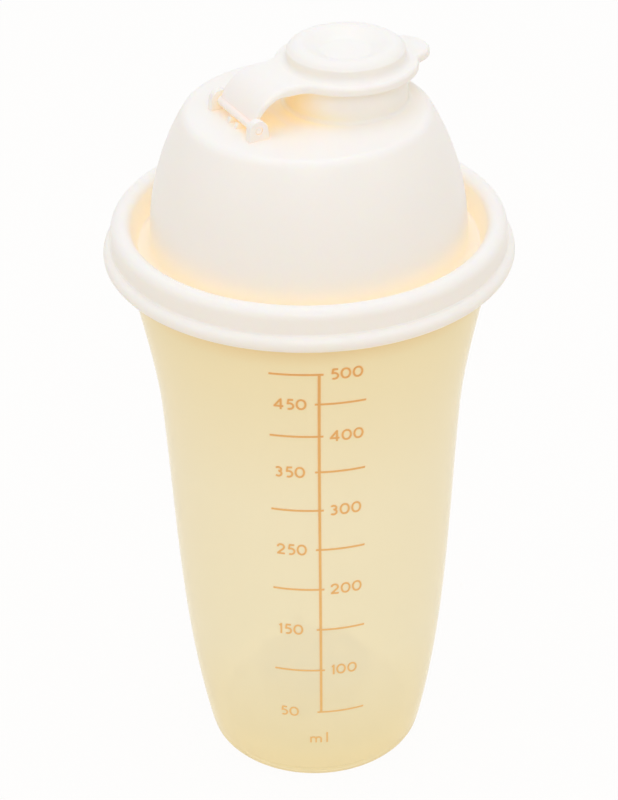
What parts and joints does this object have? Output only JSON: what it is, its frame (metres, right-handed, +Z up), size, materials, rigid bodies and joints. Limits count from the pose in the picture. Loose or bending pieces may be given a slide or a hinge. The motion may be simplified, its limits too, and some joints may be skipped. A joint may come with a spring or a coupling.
{
  "type": "shaker jug",
  "caption": "Tall flared shaker cup with a printed millilitre scale, a loose mixing wheel inside and a press-on domed lid with a flip cap over its spout.",
  "frame": {"origin": "middle of the base, on the plane that the jug stands on", "axes": "+Z up along the tumbler's axis, the front scale facing -Y"},
  "size_m": [0.1018, 0.1018, 0.2004],
  "materials": {
    "tumbler_plastic": "satin, milky translucent",
    "scale_ink": "printed",
    "lid_plastic": "satin",
    "wheel_plastic": "satin"
  },
  "bodies": {
    "tumbler": {"tumbler": "tumbler_plastic", "front_scale_print": "scale_ink", "back_scale_print": "scale_ink"},
    "lid": {"dome_lid": "lid_plastic"},
    "cap": {"flip_cap": "lid_plastic"},
    "wheel": {"mixing_wheel": "wheel_plastic"}
  },
  "joints": [
    {"name": "lid_lift", "type": "slide", "parent": "tumbler", "child": "lid", "axis": [0, 0, 1], "range_m": [0, 0.06]},
    {"name": "cap_flip", "type": "hinge", "parent": "lid", "child": "cap", "pos_m": [-0.01668, -0.00778, 0.1883], "axis": [0.4226, -0.9063, 0], "range_deg": [0, 120]},
    {"name": "wheel_rise", "type": "slide", "parent": "tumbler", "child": "wheel", "axis": [0, 0, 1], "range_m": [0, 0.12]}
  ]
}
